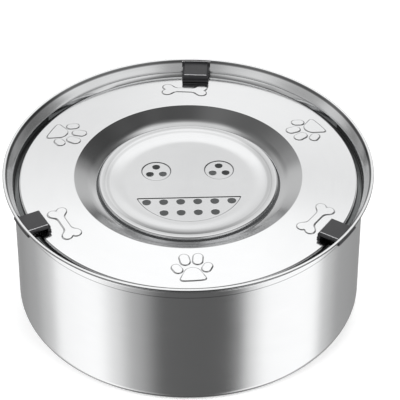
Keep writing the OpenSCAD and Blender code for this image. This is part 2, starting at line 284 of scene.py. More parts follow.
def make_piece(name, solid, material, body, replaced, other=None, other_faces=()):
    """A mesh object with the given normals, that stands for its CAD node.

    The faces counted in other_faces get the other finish.
    """
    points, normals, faces, smooth = solid
    mesh = bpy.data.meshes.new(name)
    mesh.from_pydata((points * MM).tolist(), [], faces)
    mesh.update()
    mesh.shade_smooth()
    corners = np.zeros(len(mesh.loops), int)
    mesh.loops.foreach_get("vertex_index", corners)
    looks = normals[corners]
    for polygon in list(mesh.polygons)[smooth:]:
        looks[polygon.loop_start:polygon.loop_start + polygon.loop_total] = polygon.normal
    mesh.normals_split_custom_set(looks.tolist())
    mesh.materials.append(material)
    if other:
        mesh.materials.append(other)
    for i in other_faces:
        mesh.polygons[i].material_index = 1
    piece = bpy.data.objects.new(name, mesh)
    bpy.context.scene.collection.objects.link(piece)
    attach(piece, body)
    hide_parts(replaced)


# Pressed figures: distances to their outlines, below zero inside

def disc(x, y, cx, cy, radius):
    return np.hypot(x - cx, y - cy) - radius


def block(x, y, half_x, half_y):
    dx = np.abs(x) - half_x
    dy = np.abs(y) - half_y
    outside = np.hypot(np.maximum(dx, 0), np.maximum(dy, 0))
    return outside + np.minimum(np.maximum(dx, dy), 0)


def merged(a, b, ease):
    """The union of two shapes, with the notch between them eased."""
    h = np.clip(0.5 + 0.5 * (b - a) / ease, 0, 1)
    return b + (a - b) * h - ease * h * (1 - h)


def turned(x, y, degrees):
    """The point's coordinates in a frame that is turned by so many degrees."""
    c, s = math.cos(math.radians(degrees)), math.sin(math.radians(degrees))
    return x * c + y * s, -x * s + y * c


SHAFT_HALF_L = 10.0
SHAFT_HALF_W = 2.6
KNOB_X = 12.6
KNOB_Y = 3.3
KNOB_R = 3.6
KNOBS_EASE = 1.0
SHAFT_EASE = 5.0


def bone_distance(x, y):
    shape = block(x, y, SHAFT_HALF_L, SHAFT_HALF_W)
    for side in (-1, 1):
        knobs = [disc(x, y, side * KNOB_X, up * KNOB_Y, KNOB_R) for up in (-1, 1)]
        shape = merged(shape, merged(*knobs, KNOBS_EASE), SHAFT_EASE)
    return shape


def tapered(x, y, start, start_r, stop, stop_r):
    """A bar with round ends of two sizes."""
    reach = math.hypot(stop[0] - start[0], stop[1] - start[1])
    ux, uy = (stop[0] - start[0]) / reach, (stop[1] - start[1]) / reach
    along = (x - start[0]) * ux + (y - start[1]) * uy
    across = np.abs((y - start[1]) * ux - (x - start[0]) * uy)
    lean = (start_r - stop_r) / reach
    rise = math.sqrt(1 - lean * lean)
    place = across * -lean + along * rise
    side = across * rise + along * lean - start_r
    first = np.hypot(across, along) - start_r
    last = np.hypot(across, along - reach) - stop_r
    return np.where(place < 0, first, np.where(place > reach * rise, last, side))


def toe_distance(x, y, radius, half):
    return np.hypot(x, np.maximum(np.abs(y) - half, 0)) - radius


PAD_Y = -6.0
PAD_R = 6.3
PAD_CORNER = (7.0, -10.2)
PAD_CORNER_R = 1.8
PAD_BASE_HALF_H = 2.8
PAD_EASE = 0.6
# Each toe's place, lean in degrees, radius and half length between its round ends
TOES = (((4.5, 8.0), -8, 3.45, 1.9), ((10.2, -0.2), -28, 3.2, 1.4))


def pad_distance(x, y):
    x = np.abs(x)
    flank = tapered(x, y, (0.0, PAD_Y), PAD_R, PAD_CORNER, PAD_CORNER_R)
    base_y = PAD_CORNER[1] - PAD_CORNER_R + PAD_BASE_HALF_H
    base = block(x, y - base_y, PAD_CORNER[0] - 1.0, PAD_BASE_HALF_H)
    return merged(flank, base, PAD_EASE)


def paw_parts():
    """Each part of a paw: its distance and a point outside it to trace from."""
    parts = [(pad_distance, (0.0, PAD_Y + PAD_R + 0.3))]
    for side in (-1, 1):
        for place, lean, radius, half in TOES:
            cx, cy = side * place[0], place[1]

            def toe(x, y, cx=cx, cy=cy, lean=side * lean, radius=radius, half=half):
                return toe_distance(*turned(x - cx, y - cy, lean), radius, half)

            parts.append((toe, (cx, cy + radius + half + 0.2)))
    return parts


# Where the figures sit on the deck, and how they are turned there
BONE_TILT = 90 - 5.5
BONE_R = DECK_MID_R
PAW_TILT = 90 + 3
PAW_R = DECK_MID_R - 0.6


def placed(distance, radius, tilt):
    """A figure's distance with the figure set at a radius on the x axis and turned."""
    return lambda x, y: distance(*turned(x - radius, y, tilt))


def carried(point, radius, tilt):
    x, y = turned(point[0], point[1], -tilt)
    return x + radius, y


SLOPE_STEP = 1e-3


def slope_of(field, x, y):
    gx = (field(x + SLOPE_STEP, y) - field(x - SLOPE_STEP, y)) / (2 * SLOPE_STEP)
    gy = (field(x, y + SLOPE_STEP) - field(x, y - SLOPE_STEP)) / (2 * SLOPE_STEP)
    return gx, gy


MOST_STEPS = 3000


def trace(field, level, start, stride):
    """Walks round the line on which a field has the given level."""

    def settle(x, y, rounds):
        for _ in range(rounds):
            gx, gy = slope_of(field, x, y)
            off = (field(x, y) - level) / (gx * gx + gy * gy)
            x, y = x - off * gx, y - off * gy
        return x, y

    x, y = settle(*start, 5)
    line = [(x, y)]
    for _ in range(MOST_STEPS):
        gx, gy = slope_of(field, x, y)
        size = math.hypot(gx, gy)
        x, y = settle(x - gy / size * stride, y + gx / size * stride, 1)
        if len(line) > 4 and math.hypot(x - line[0][0], y - line[0][1]) < 0.8 * stride:
            break
        line.append((x, y))
    xs, ys = settle(*np.array(line).T, 4)
    return list(zip(xs.tolist(), ys.tolist()))


def eased_step(d, width):
    """1 inside an outline and 0 outside it, over a soft flank of a width."""
    t = np.clip(0.5 - d / width, 0, 1)
    return t * t * (3 - 2 * t)


# Lines followed along a flank, in flank widths from the outline
FLANK_LEVELS = (-0.62, -0.45, -0.28, -0.1, 0.1, 0.28, 0.45, 0.62)
LEAST_AREA = 3e-4


def triangles(loops, fillers, keep):
    """Fills a flat area with triangles that follow the loops and use the fillers.

    keep(a, b, c) says which triangles stay. Those with hardly any area go.
    """
    points = []
    edges = []
    for loop in loops:
        first = len(points)
        points += loop
        edges += [(first + i, first + (i + 1) % len(loop)) for i in range(len(loop))]
    points += fillers
    found = delaunay_2d_cdt([Vector(p) for p in points], edges, [], 0, 1e-6)
    places = [points[own[0]] if own else tuple(p) for p, own in zip(found[0], found[3])]
    places = np.array(places)
    faces = np.array(found[2])
    a, b, c = (places[faces[:, k]] for k in range(3))
    area = ((b - a)[:, 0] * (c - a)[:, 1] - (b - a)[:, 1] * (c - a)[:, 0]) / 2
    faces[area < 0] = faces[area < 0][:, ::-1]
    kept = (np.abs(area) > LEAST_AREA) & keep(a, b, c)
    return places, faces[kept]


def lay_triangles(skin, patch, turns):
    """Lifts flat triangles on a height field and copies them round the axis."""
    (places, faces), height = patch
    x, y = places.T
    z = height(x, y)
    gx, gy = slope_of(height, x, y)
    size = np.sqrt(gx * gx + gy * gy + 1)
    nx, ny, nz = -gx / size, -gy / size, 1 / size
    used = np.unique(faces)
    for turn in turns:
        c, s = math.cos(math.radians(turn)), math.sin(math.radians(turn))
        spots = np.column_stack([x * c - y * s, x * s + y * c, z]).tolist()
        looks = np.column_stack([nx * c - ny * s, nx * s + ny * c, nz]).tolist()
        known = {i: skin.point(spots[i], looks[i]) for i in used.tolist()}
        for corners in faces.tolist():
            skin.face([known[i] for i in corners])


# The bowl

SLOT_HALF = math.asin(SLOT_W / 2 / (COLLAR_IN_R + 3))


def slot_edges():
    """Angles of the sides of the three latch slots."""
    middles = [math.radians(angle) for angle in LATCHES.values()]
    return [middle + side * SLOT_HALF for middle in middles for side in (-1, 1)]


def in_a_slot(angle):
    half = math.degrees(SLOT_HALF)
    return any(abs((math.degrees(angle) - a + 180) % 360 - 180) < half for a in LATCHES.values())


# The flange under the rim bows by this many degrees from its foot to its top
FLANGE_BOW = 5.0
FLANGE_ROWS = 6


def bowed(foot, top, share):
    """A row part of the way up the flange, whose slope changes a little on the way."""
    place = foot[0] + (top[0] - foot[0]) * share
    lean = math.radians(FLANGE_BOW * (share - 0.5))
    c, s = math.cos(lean), math.sin(lean)
    n = foot[1]
    return place, np.array([n[0] * c - n[1] * s, n[0] * s + n[1] * c])


# The channel between the ring's edge and the collar: its walls' heights, how far round from the
# back it shows, over how many degrees that fades, and how far its shading leans up
CHANNEL_TOP_Z = FLARE_Z - 0.3
CHANNEL_LOW_Z = LEDGE_Z + 0.6
CHANNEL_HALF = 58.0
CHANNEL_FADE = 30.0
CHANNEL_LEAN = 38.0
CHANNEL_LEAN_MORE = 16.0
CHANNEL_COLUMNS = 116
CHANNEL_ROWS = 6


def channel_skin():
    """The inside of the collar behind the ring's back edge, shaded as eased to the ledge."""
    skin = Skin()
    r = COLLAR_IN_R - 0.03
    columns = []
    for turn in steps_between(-CHANNEL_HALF, CHANNEL_HALF, CHANNEL_COLUMNS):
        a = math.radians(BACK + turn)
        fade = min((CHANNEL_HALF - abs(turn)) / CHANNEL_FADE, 1.0)
        column = []
        for share in steps_between(0.0, 1.0, CHANNEL_ROWS):
            z = CHANNEL_TOP_Z + (CHANNEL_LOW_Z - CHANNEL_TOP_Z) * share
            lean = math.radians((CHANNEL_LEAN + CHANNEL_LEAN_MORE * share) * fade)
            look = (-math.cos(lean) * math.cos(a), -math.cos(lean) * math.sin(a), math.sin(lean))
            column.append(skin.point((r * math.cos(a), r * math.sin(a), z), look))
        columns.append(column)
    for before, after in zip(columns, columns[1:]):
        for j in range(len(before) - 1):
            skin.facing([before[j], before[j + 1], after[j + 1], after[j]])
    return skin


def bowl_skin():
    foot_in = BASE_R - CORNER_R - FOOT_BAND_W
    slot_low = LATCH_UNDER_Z - SLOT_PLAY
    path = [
        [0.01, BASE_LIFT, 0],
        [foot_in - BASE_LIFT, BASE_LIFT, FOOT_BEND],
        [foot_in, 0, FOOT_BEND],
        [BASE_R, 0, CORNER_R],
        [WALL_R, LEDGE_Z - STEP_H, STEP_BEND],
        [COLLAR_R, LEDGE_Z, STEP_BEND],
        [COLLAR_R, FLARE_Z, FLARE_BEND],
        [BEAD_MID_R, RIM_Z, 0],
    ]
    rows = flipped(section(path))
    foot, top = rows[-2], rows[-1]
    rows[-1:] = [bowed(foot, top, k / FLANGE_ROWS) for k in range(1, FLANGE_ROWS + 1)]
    lower = next(i for i in range(len(rows) - 1) if rows[i][0][1] <= slot_low < rows[i + 1][0][1])
    share = (slot_low - rows[lower][0][1]) / (rows[lower + 1][0][1] - rows[lower][0][1])
    cut = (rows[lower][0] + (rows[lower + 1][0] - rows[lower][0]) * share, rows[lower][1])
    rows.insert(lower + 1, cut)
    angles = circle_angles(COLUMNS, slot_edges())

    def leave_out(i, j):
        return i > lower and in_a_slot((angles[j] + angles[j + 1]) / 2)

    skin = Skin()
    skin.revolve(rows, angles, leave_out)
    return skin


# The rolled rim's top is polished flatter than round: the share of its turn that its shading
# keeps, out to how many degrees from the top, and over how many it gets back to round
BEAD_KEEP = 0.27
BEAD_FLAT_TO = 60.0
BEAD_BACK_IN = 30.0
BEAD_ROWS = 36


def bead_skin():
    rows = []
    for off in steps_between(-180.0, 180.0, BEAD_ROWS):
        back_to_round = min(max(abs(off) - BEAD_FLAT_TO, 0) / BEAD_BACK_IN, 1.0)
        eased = off * (BEAD_KEEP + (1 - BEAD_KEEP) * back_to_round)
        a, b = math.radians(90 + off), math.radians(90 + eased)
        place = np.array([BEAD_MID_R + BEAD_R * math.cos(a), RIM_Z + BEAD_R * math.sin(a)])
        rows.append((place, np.array([math.cos(b), math.sin(b)])))
    skin = Skin()
    skin.revolve(rows, circle_angles(COLUMNS))
    return skin


def make_bowl(steel, inside):
    skin = bowl_skin()
    solid = joined(thickened(skin, WALL_T), as_solid(bead_skin()), as_solid(channel_skin()))
    inner = range(len(skin.faces), 2 * len(skin.faces))
    make_piece("steel_bowl", solid, steel, "bowl", "bowl_shell", inside, inner)


# The splash ring

FIGURE_RISE = 0.55
FIGURE_FLANK = 1.05
PATCH_IN_R = WELL_TOP_R + 1.2
PATCH_OUT_R = RING_R - 2.4
FILL_ROWS = 13
FILL_HALF = 28.0
FILL_COLUMNS = 20
FIGURE_STRIDE = 0.5
TAB_COLUMNS = 12


def ring_path():
    return [
        [WELL_BOTTOM_R, LIP_Z, 0],
        [WELL_BOTTOM_R, WELL_FOOT_Z, CREST_BEND],
        [WELL_KNEE_R, WELL_KNEE_Z, KNEE_BEND],
        [WELL_TOP_R, CREST_Z, CREST_BEND],
        [RING_R, DECK_EDGE_Z, EDGE_BEND],
        [RING_R, TAB_Z, 0],
    ]


def deck_height(x, y):
    r = np.hypot(x, y)
    return CREST_Z - (r - WELL_TOP_R) * (CREST_Z - DECK_EDGE_Z) / (RING_R - WELL_TOP_R)


def sector_outline(in_r, out_r, half_degrees):
    """Outline of one sixth of the deck, about the x axis."""
    count = COLUMNS // 6
    arc = steps_between(-math.radians(half_degrees), math.radians(half_degrees), count)
    inner = [(in_r * math.cos(a), in_r * math.sin(a)) for a in arc]
    outer = [(out_r * math.cos(a), out_r * math.sin(a)) for a in reversed(arc)]
    sides = steps_between(in_r, out_r, 8)[1:-1]
    far = [(r * math.cos(arc[-1]), r * math.sin(arc[-1])) for r in sides]
    near = [(r * math.cos(arc[0]), r * math.sin(arc[0])) for r in reversed(sides)]
    return inner + far + outer + near


def deck_patch(parts, radius, tilt):
    """Triangles of one sixth of the deck round a figure, and its height field.

    parts holds (distance, point to trace from) pairs.
    """
    fields = [placed(distance, radius, tilt) for distance, _ in parts]
    starts = [carried(start, radius, tilt) for _, start in parts]

    def distance(x, y):
        return np.minimum.reduce([f(x, y) for f in fields])

    def height(x, y):
        return deck_height(x, y) + FIGURE_RISE * eased_step(distance(x, y), FIGURE_FLANK)

    loops = [sector_outline(PATCH_IN_R, PATCH_OUT_R, 30)]
    for field, start in zip(fields, starts):
        loops += [trace(field, level * FIGURE_FLANK, start, FIGURE_STRIDE)
                  for level in FLANK_LEVELS]
    fillers = []
    for r in steps_between(PATCH_IN_R, PATCH_OUT_R, FILL_ROWS)[1:-1]:
        for a in steps_between(-FILL_HALF, FILL_HALF, FILL_COLUMNS):
            x, y = r * math.cos(math.radians(a)), r * math.sin(math.radians(a))
            if abs(distance(x, y)) > FIGURE_FLANK:
                fillers.append((x, y))

    def keep(a, b, c):
        return np.maximum.reduce([np.hypot(*p.T) for p in (a, b, c)]) > PATCH_IN_R + 0.01

    return triangles(loops, fillers, keep), height


def ring_skin():
    rows = section(ring_path())
    inner = [row for row in rows if row[0][0] < PATCH_IN_R]
    outer = [row for row in rows if row[0][0] > PATCH_OUT_R]
    up = unit(np.array([CREST_Z - DECK_EDGE_Z, RING_R - WELL_TOP_R]))

    def deck_row(r):
        return np.array([r, deck_height(r, 0.0)]), up

    turn = math.radians(BACK + RING_TURN - 30)
    angles = [turn + a for a in circle_angles(COLUMNS)]
    skin = Skin()
    skin.revolve(inner + [deck_row(PATCH_IN_R)], angles)
    skin.revolve([deck_row(PATCH_OUT_R)] + outer, angles)
    turns = [BACK + RING_TURN + 120 * k for k in range(3)]
    bone_parts = [(bone_distance, (0.0, SHAFT_HALF_W + 0.2))]
    lay_triangles(skin, deck_patch(bone_parts, BONE_R, BONE_TILT), turns)
    lay_triangles(skin, deck_patch(paw_parts(), PAW_R, PAW_TILT), [t + 60 for t in turns])
    return skin


def tab_skin(angle):
    """One of the tabs on the ring's edge that rest on the ledge in the bowl."""
    half = math.asin(TAB_W / 2 / TAB_R)
    middle = math.radians(angle)
    up = np.array([0.0, 1.0])
    rows = [(np.array([r, TAB_Z + RING_T]), up) for r in (RING_R - RING_T / 2, TAB_R)]
    skin = Skin()
    skin.revolve(rows, steps_between(middle - half, middle + half, TAB_COLUMNS))
    return skin


def make_ring(steel):
    tabs = [thickened(tab_skin(angle), RING_T) for angle in LATCHES.values()]
    solid = joined(thickened(ring_skin(), RING_T), *tabs)
    make_piece("steel_splash_ring", solid, steel, "bowl", "splash_ring")


# The drinking plate

RECESS_DEPTH = 0.5
RECESS_FLANK = 0.95
EYE_R = 10.3
EYES = ((-22.2, 13.4), (22.2, 13.4))
MOUTH_R = 38.4
MOUTH_ARC_Y = 4.3
MOUTH_TOP_Y = 16.6
MOUTH_EASE = 1.0
HOLE_PITCH = 11.9
MOUTH_HOLE_R = 3.0
EYE_HOLE_R = 2.7
EYE_HOLES_R = 5.3
HOLE_ROLL = 0.45
HOLE_ROLL_H = 0.12
FACE_R = 45.0
FACE_RINGS = 20
BORDER_ROWS = 24
RECESS_STRIDE = 0.6
HOLE_POINTS = 32
HOLE_RINGS = (0.0, 0.15, 0.3, 0.5)
SLOPE_SPAN = 0.01


def dish_rise(r):
    """Height of the plate over its middle, out to the rolled edge."""
    t = np.clip((r - DISH_FLAT_R) / (DISH_R - DISH_FLAT_R), 0, 1)
    return (PLATE_Z - DISH_Z) * t * t


def plate_rows():
    """Rows from the plate's face patch out to its rolled edge and down its skirt."""
    rows = []
    for r in steps_between(FACE_R, DISH_R - 0.1, BORDER_ROWS):
        rise = (dish_rise(r + SLOPE_SPAN) - dish_rise(r - SLOPE_SPAN)) / (2 * SLOPE_SPAN)
        rows.append((np.array([r, DISH_Z + dish_rise(r)]), unit(np.array([-rise, 1.0]))))
    corner = [PLATE_R, PLATE_Z, PLATE_BEND]
    return rows + section([[DISH_R + 0.1, PLATE_Z, 0], corner, [PLATE_R, SKIRT_Z, 0]], 10)


def mouth_distance(x, y):
    """A disc cut off along a straight top, with a small ease in the two corners."""
    arc = disc(x, y, 0, -MOUTH_ARC_Y, MOUTH_R)
    top = y + MOUTH_TOP_Y
    return -merged(-arc, -top, MOUTH_EASE)


def face_holes():
    holes = []
    for ex, ey in EYES:
        for k in range(3):
            a = math.radians(90 + 120 * k)
            x, y = ex + EYE_HOLES_R * math.cos(a), ey + EYE_HOLES_R * math.sin(a)
            holes.append((x, y, EYE_HOLE_R))
    upper = -MOUTH_TOP_Y - HOLE_PITCH / 3
    holes += [((k - 2.5) * HOLE_PITCH, upper, MOUTH_HOLE_R) for k in range(6)]
    holes += [((k - 1.5) * HOLE_PITCH, upper - HOLE_PITCH, MOUTH_HOLE_R) for k in range(4)]
    return holes


def circle(cx, cy, radius, count):
    """Points round a circle."""
    angles = [2 * math.pi * k / count for k in range(count)]
    return [(cx + radius * math.cos(a), cy + radius * math.sin(a)) for a in angles]


def face_patch():
    """Triangles of the plate's face, its height field and the distance to its recesses."""
    holes = face_holes()
    eye_fields = [lambda x, y, e=e: disc(x, y, e[0], e[1], EYE_R) for e in EYES]
    fields = eye_fields + [mouth_distance]
    starts = [(e[0] + EYE_R, e[1]) for e in EYES] + [(0.0, -MOUTH_ARC_Y - MOUTH_R)]

    def distance(x, y):
        return np.minimum.reduce([f(x, y) for f in fields])

    def hole_distance(x, y):
        return np.minimum.reduce([disc(x, y, hx, hy, hr) for hx, hy, hr in holes])

    def height(x, y):
        pressed = RECESS_DEPTH * eased_step(distance(x, y), RECESS_FLANK)
        edge = np.clip(1 - hole_distance(x, y) / HOLE_ROLL, 0, 1)
        return DISH_Z + dish_rise(np.hypot(x, y)) - pressed - HOLE_ROLL_H * edge * edge

    loops = [circle(0.0, 0.0, FACE_R, COLUMNS)]
    for field, start in zip(fields, starts):
        loops += [trace(field, level * RECESS_FLANK, start, RECESS_STRIDE)
                  for level in FLANK_LEVELS]
    for hx, hy, hr in holes:
        loops += [circle(hx, hy, hr + grow, HOLE_POINTS) for grow in HOLE_RINGS]
    fillers = []
    for ring in range(1, FACE_RINGS):
        fillers += [(x, y) for x, y in circle(0.0, 0.0, FACE_R * ring / FACE_RINGS, 6 * ring)
                    if abs(distance(x, y)) > RECESS_FLANK and hole_distance(x, y) > 1.0]

    def keep(a, b, c):
        return hole_distance(*((a + b + c) / 3).T) > 0

    return triangles(loops, fillers, keep), height, distance


# The recess flanks that get painted shade: how far either side of a line just inside the outline
SHADE_LINE_IN = 0.1
SHADE_LINE_HALF = 0.42 * RECESS_FLANK


def make_plate(steel, crease_shade):
    skin = Skin()
    turn = math.radians(FACE_TURN)
    skin.revolve(plate_rows(), [turn + a for a in circle_angles(COLUMNS)])
    first = len(skin.faces)
    patch, height, distance = face_patch()
    lay_triangles(skin, (patch, height), [FACE_TURN])
    # Faces along the recess flanks get the darker steel: painted shade
    shaded_flanks = []
    for i in range(first, len(skin.faces)):
        x, y, _ = np.mean([skin.points[k] for k in skin.faces[i]], axis=0)
        if abs(distance(*turned(x, y, FACE_TURN)) + SHADE_LINE_IN) < SHADE_LINE_HALF:
            shaded_flanks.append(i)
    solid = thickened(skin, PLATE_T)
    make_piece("steel_drinking_plate", solid, steel, "float", "float_plate",
               crease_shade, shaded_flanks)


# The latches

# The tongue: its reach, and how far its hook stays over the deck
TIP_R = slide_low[1]
HEEL_R = COLLAR_IN_R - 10.2
TONGUE_OUT_R = GRIP_R - 1.5
HOOK_GAP = 0.3
NOSE_R = TIP_R + 0.5
NOSE_DROP = 0.3
WAIST_R = TIP_R + 1.2
WAIST_DROP = 1.2
TIP_H = 1.1
# Edges that turn by more degrees than these get a painted highlight, get softened or are shaded
# sharp.
# The highlighted ones look towards the front by at least a little
HIGHLIGHT_FROM = 12.0
SOFT_FROM = 30.0
SHARP_FROM = 25.0
FRONT_LOOK = 0.2
TOUCH = 1e-6


def tongue_outline():
    """The section of a latch's tongue, from its lip out to the bar."""
    tip_z = deck_height(TIP_R, 0.0) + HOOK_GAP
    return [
        (NOSE_R, LATCH_TOP_Z),
        (NOSE_R, LATCH_UNDER_Z - NOSE_DROP),
        (WAIST_R, LATCH_UNDER_Z - WAIST_DROP),
        (TIP_R, tip_z + TIP_H),
        (TIP_R, tip_z),
        (HEEL_R, deck_height(HEEL_R, 0.0) + HOOK_GAP),
        (HEEL_R, LATCH_UNDER_Z),
        (TONGUE_OUT_R, LATCH_UNDER_Z),
        (TONGUE_OUT_R, LATCH_TOP_Z),
    ]


def square_bar(outline, half_width):
    """A bar along y whose section has the outline's (x, z) corners."""
    work = bmesh.new()
    ends = []
    for side in (-half_width, half_width):
        ends.append([work.verts.new((x * MM, side * MM, z * MM)) for x, z in outline])
    count = len(outline)
    work.faces.new(ends[0])
    work.faces.new(list(reversed(ends[1])))
    for i in range(count):
        j = (i + 1) % count
        work.faces.new([ends[0][j], ends[0][i], ends[1][i], ends[1][j]])
    bmesh.ops.recalc_face_normals(work, faces=work.faces)
    return work


def turning_edges(work, degrees):
    """Edges at which the surface turns by more than so many degrees."""
    return [e for e in work.edges if e.calc_face_angle(0) > math.radians(degrees)]


def soften(work, edges, width, segments, finish):
    bmesh.ops.bevel(work, geom=edges, offset=width * MM, segments=segments, profile=0.5,
                    affect="EDGES", clamp_overlap=True, material=finish)


def tongue_mesh(name, angle):
    """The tongue, slanted round its top. Its top edges towards the front get finish 1, a painted
    highlight.
    """
    work = square_bar(tongue_outline(), LATCH_W / 2)
    top = LATCH_TOP_Z * MM - TOUCH
    out = TONGUE_OUT_R * MM - TOUCH
    top_edges = [e for e in work.edges if all(v.co.z > top for v in e.verts)]
    slanted = [e for e in top_edges if not all(v.co.x > out for v in e.verts)]
    bmesh.ops.bevel(work, geom=slanted, offset=LATCH_SLANT * MM, segments=1, affect="EDGES")
    work.edges.ensure_lookup_table()
    near = Vector((-math.sin(math.radians(angle)), -math.cos(math.radians(angle)), 0))
    # Top edges that face the front get a painted highlight
    highlit_edges = [e for e in turning_edges(work, HIGHLIGHT_FROM) if all(v.co.z > top for v in e.verts)
              and sum((f.normal for f in e.link_faces), Vector()).dot(near) > FRONT_LOOK]
    soften(work, highlit_edges, HIGHLIGHT_BEVEL, 2, 1)
    soften(work, turning_edges(work, SOFT_FROM), LATCH_BEVEL, 3, 0)
    work.transform(Matrix.Rotation(math.radians(angle), 4, "Z"))
    mesh = bpy.data.meshes.new(name)
    work.to_mesh(mesh)
    work.free()
    mesh.shade_smooth()
    mesh.set_sharp_from_angle(angle=math.radians(SHARP_FROM))
    return mesh


def make_tongue(side, angle, plastic, edge):
    mesh = tongue_mesh("tongue_" + side, angle)
    mesh.materials.append(plastic)
    mesh.materials.append(edge)
    tongue = bpy.data.objects.new("tongue_" + side, mesh)
    bpy.context.scene.collection.objects.link(tongue)
    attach(tongue, "latch_" + side)
    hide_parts("latch_slide_" + side)


def flare_r(z):
    """Radius of the outside of the flare at a height."""
    return COLLAR_R + (BEAD_MID_R - COLLAR_R) * max(z - FLARE_Z, 0) / (RIM_Z - FLARE_Z)


# The bar: its gap to the flare, the height of its ridge, and how its ends round off over the
# last share of its half length, down to a least height
GRIP_GAP = 0.35
RIDGE_AT = 0.56
END_SHARE = 0.16
END_LEAST = 0.02
END_DEPTH = 0.3
GRIP_STEPS = 16


def grip_ring():
    """The bar's closed section: (r, z) corners with a ridge along the outside."""
    low = GRIP_LOW_Z
    top = LATCH_TOP_Z
    ridge = low + RIDGE_AT * (top - low)
    path = [
        (flare_r(low) + GRIP_GAP, low + 0.2),
        (GRIP_R - 1.9, low),
        (GRIP_R - 1.3, low + 0.3),
        (GRIP_R - 0.12, ridge - 0.25),
        (GRIP_R, ridge),
        (GRIP_R - 0.06, ridge + 0.25),
        (GRIP_R - 0.5, top - 0.4),
        (GRIP_R - 0.9, top),
        (flare_r(top) + GRIP_GAP, top),
    ]
    return [np.array(p) for p in path]


def grip_skin(angle):
    ring = grip_ring()
    middle = sum(ring) / len(ring)
    half = math.asin(GRIP_W / 2 / GRIP_R)
    skin = Skin()
    rings = []
    for k in range(-GRIP_STEPS, GRIP_STEPS + 1):
        share = k / GRIP_STEPS
        past = max(abs(share) - (1 - END_SHARE), 0) / END_SHARE
        squeeze = math.sqrt(max(1 - past ** 2, END_LEAST))
        a = math.radians(angle) + half * share
        c, s = math.cos(a), math.sin(a)
        row = []
        for i, p in enumerate(ring):
            r, z = middle + (p - middle) * [squeeze ** END_DEPTH, squeeze]
            nr, nz = -left_of(unit(ring[(i + 1) % len(ring)] - ring[i - 1]))
            row.append(skin.point((r * c, r * s, z), (nr * c, nr * s, nz)))
        rings.append(row)
    for i in range(len(rings) - 1):
        for j in range(len(ring)):
            k = (j + 1) % len(ring)
            skin.facing([rings[i][j], rings[i][k], rings[i + 1][k], rings[i + 1][j]])
    skin.face(rings[0])
    skin.face(list(reversed(rings[-1])))
    return skin


def make_grip(side, angle, plastic):
    solid = as_solid(grip_skin(angle))
    make_piece("grip_bar_" + side, solid, plastic, "latch_" + side, "latch_grip_" + side)


# Materials

def new_material(name):
    material = bpy.data.materials.new(name)
    material.use_nodes = True
    tree = material.node_tree
    tree.nodes.clear()
    out = tree.nodes.new("ShaderNodeOutputMaterial")
    shader = tree.nodes.new("ShaderNodeBsdfPrincipled")
    tree.links.new(shader.outputs["BSDF"], out.inputs["Surface"])
    return material, tree, shader


def maths(tree, operation, a, b=None, clamp=False):
    """A Math node. a and b are sockets or numbers."""
    node = tree.nodes.new("ShaderNodeMath")
    node.operation = operation
    node.use_clamp = clamp
    for socket, value in zip(node.inputs, (a, b)):
        if value is None:
            continue
        if isinstance(value, (int, float)):
            socket.default_value = value
        else:
            tree.links.new(value, socket)
    return node.outputs[0]


def new_group(name, inputs, outputs):
    group = bpy.data.node_groups.new(name, "ShaderNodeTree")
    for label, kind, value in inputs:
        socket = group.interface.new_socket(label, in_out="INPUT", socket_type=kind)
        socket.default_value = value
    for label, kind in outputs:
        group.interface.new_socket(label, in_out="OUTPUT", socket_type=kind)
    start = group.nodes.new("NodeGroupInput")
    end = group.nodes.new("NodeGroupOutput")
    return group, start, end


def mapped(tree, value, low, high):
    """Spreads a 0 to 1 value over low to high."""
    node = tree.nodes.new("ShaderNodeMapRange")
    node.inputs["To Min"].default_value = low
    node.inputs["To Max"].default_value = high
    tree.links.new(value, node.inputs["Value"])
    return node.outputs["Result"]


def mapped_between(tree, value, start, stop):
    """0 at start and before, 1 at stop and after, eased."""
    node = tree.nodes.new("ShaderNodeMapRange")
    node.interpolation_type = "SMOOTHSTEP"
    node.inputs["From Min"].default_value = start
    node.inputs["From Max"].default_value = stop
    tree.links.new(value, node.inputs["Value"])
    return node.outputs["Result"]


def mixed(tree, share, a, b, grey=0.0):
    """a where share is 0, b, or a grey, where it is 1."""
    node = tree.nodes.new("ShaderNodeMix")
    node.data_type = "RGBA"
    node.inputs[7].default_value = (grey, grey, grey, 1)
    tree.links.new(share, node.inputs[0])
    tree.links.new(a, node.inputs[6])
    if b is not None:
        tree.links.new(b, node.inputs[7])
    return node.outputs[2]


def length_of(tree, a, b):
    """The length of the diagonal over two lengths."""
    squares = [maths(tree, "MULTIPLY", side, side) for side in (a, b)]
    return maths(tree, "SQRT", maths(tree, "ADD", *squares))


def object_place(tree):
    """The x, y and z of a place on the piece."""
    place = tree.nodes.new("ShaderNodeTexCoord")
    split = tree.nodes.new("ShaderNodeSeparateXYZ")
    tree.links.new(place.outputs["Object"], split.inputs[0])
    return split.outputs


def noise_over(tree, place, scale, detail):
    """Noise over a place. scale is a number or a socket."""
    noise = tree.nodes.new("ShaderNodeTexNoise")
    noise.inputs["Detail"].default_value = detail
    tree.links.new(place, noise.inputs["Vector"])
    if isinstance(scale, float):
        noise.inputs["Scale"].default_value = scale
    else:
        tree.links.new(scale, noise.inputs["Scale"])
    return noise


# Streaks turn no tighter than a least radius, in metres. The broad ones are fewer than the fine
# ones by this share
LEAST_R = 0.002
BROAD_SHARE = 0.06


